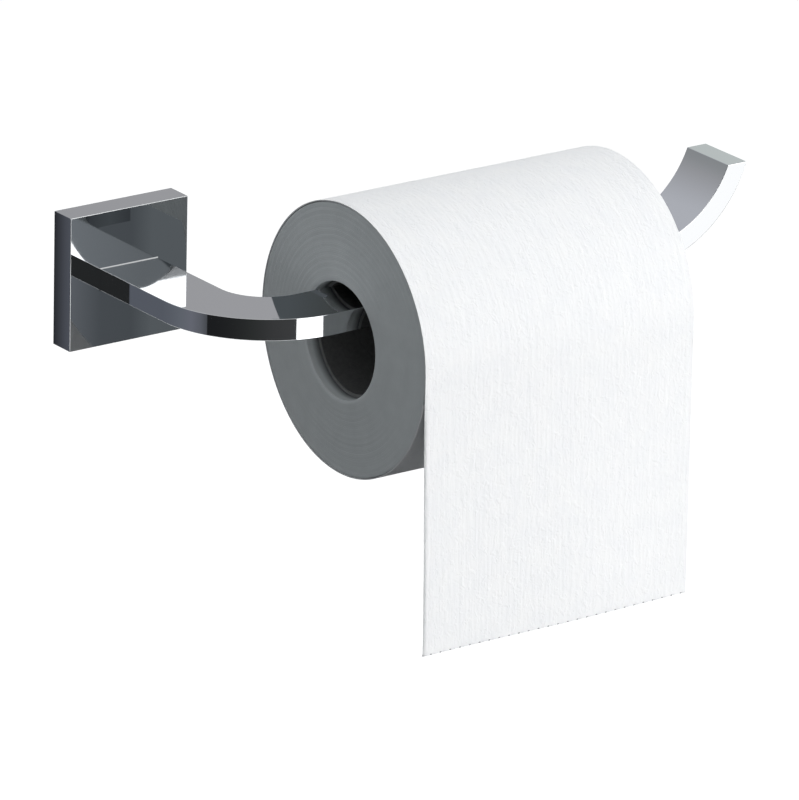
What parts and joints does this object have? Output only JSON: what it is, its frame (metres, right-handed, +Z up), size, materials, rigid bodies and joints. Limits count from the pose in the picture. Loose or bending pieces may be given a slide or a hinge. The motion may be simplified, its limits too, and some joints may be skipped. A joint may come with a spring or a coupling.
{
  "type": "toilet paper holder",
  "caption": "Chrome wall holder: square plate, flat bar bent sideways with an upturned tip, and a tissue roll that turns on the bar as its hanging sheet is pulled.",
  "frame": {"origin": "centre of the square plate, on the wall's face", "axes": "+Y into the wall, -Y towards the room, +X along the wall the way the bar points, +Z up"},
  "size_m": [0.2373, 0.1558, 0.1535],
  "materials": {
    "polished_chrome": "polished",
    "zinc_steel": "satin",
    "board": "matte",
    "tissue": "matte"
  },
  "bodies": {
    "holder": {"base_plate": "polished_chrome", "arm": "polished_chrome", "arm_screws": "zinc_steel", "wall_bracket": "zinc_steel", "wall_screws": "zinc_steel", "set_screw": "zinc_steel"},
    "wrap": {"outer_sheet": "tissue"},
    "roll": {"cardboard_core": "board", "paper_roll": "tissue"},
    "tail": {"tail_sheet": "tissue"}
  },
  "joints": [
    {"name": "roll_slide", "type": "slide", "parent": "holder", "child": "wrap", "axis": [1, 0, 0], "range_m": [-0.0129, 0.0052]},
    {"name": "roll_spin", "type": "hinge", "parent": "wrap", "child": "roll", "pos_m": [0.0437, -0.0815, -0.01194], "axis": [1, 0, 0], "range_deg": [0, 360]},
    {"name": "tail_pull", "type": "slide", "parent": "wrap", "child": "tail", "axis": [0, 0, -1], "range_m": [0, 0.3148]}
  ],
  "couplings": [
    {"joint": "tail_pull", "follows": "roll_spin", "m_per_rad": 0.0501}
  ]
}
